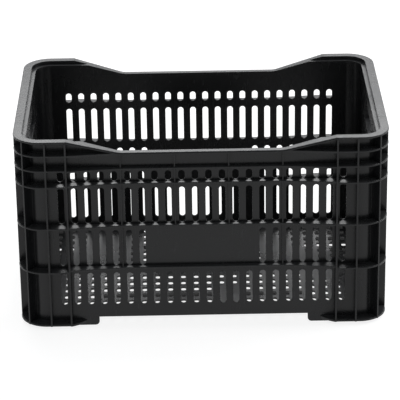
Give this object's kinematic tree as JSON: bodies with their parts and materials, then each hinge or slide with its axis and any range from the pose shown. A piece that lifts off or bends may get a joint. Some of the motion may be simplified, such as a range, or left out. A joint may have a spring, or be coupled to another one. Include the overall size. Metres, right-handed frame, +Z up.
{
  "type": "vented stacking crate",
  "caption": "Rigid open-topped vented crate with slotted walls, flanged corner posts, a dipped rim on the long sides and corner feet that stack in the rim.",
  "frame": {"origin": "middle of the footprint on the plane the feet stand on", "axes": "+X along the length, +Y towards the rear long side, +Z up"},
  "size_m": [0.557, 0.36, 0.307],
  "materials": {
    "crate_plastic": "glossy black moulded polypropylene"
  },
  "bodies": {
    "root": {"base_panel": "crate_plastic", "base_ribs": "crate_plastic", "corner_post_front_left": "crate_plastic", "corner_post_front_right": "crate_plastic", "corner_post_rear_left": "crate_plastic", "corner_post_rear_right": "crate_plastic", "rim_corner_front_left": "crate_plastic", "rim_corner_front_right": "crate_plastic", "rim_corner_rear_left": "crate_plastic", "rim_corner_rear_right": "crate_plastic", "foot_front_left": "crate_plastic", "foot_front_right": "crate_plastic", "foot_rear_left": "crate_plastic", "foot_rear_right": "crate_plastic", "rim_front": "crate_plastic", "rim_rear": "crate_plastic", "wall_front": "crate_plastic", "wall_rear": "crate_plastic", "flanges_front": "crate_plastic", "flanges_rear": "crate_plastic", "rim_left": "crate_plastic", "rim_right": "crate_plastic", "wall_left": "crate_plastic", "wall_right": "crate_plastic", "hand_hold_left": "crate_plastic", "hand_hold_right": "crate_plastic", "flanges_left": "crate_plastic", "flanges_right": "crate_plastic"}
  },
  "joints": []
}
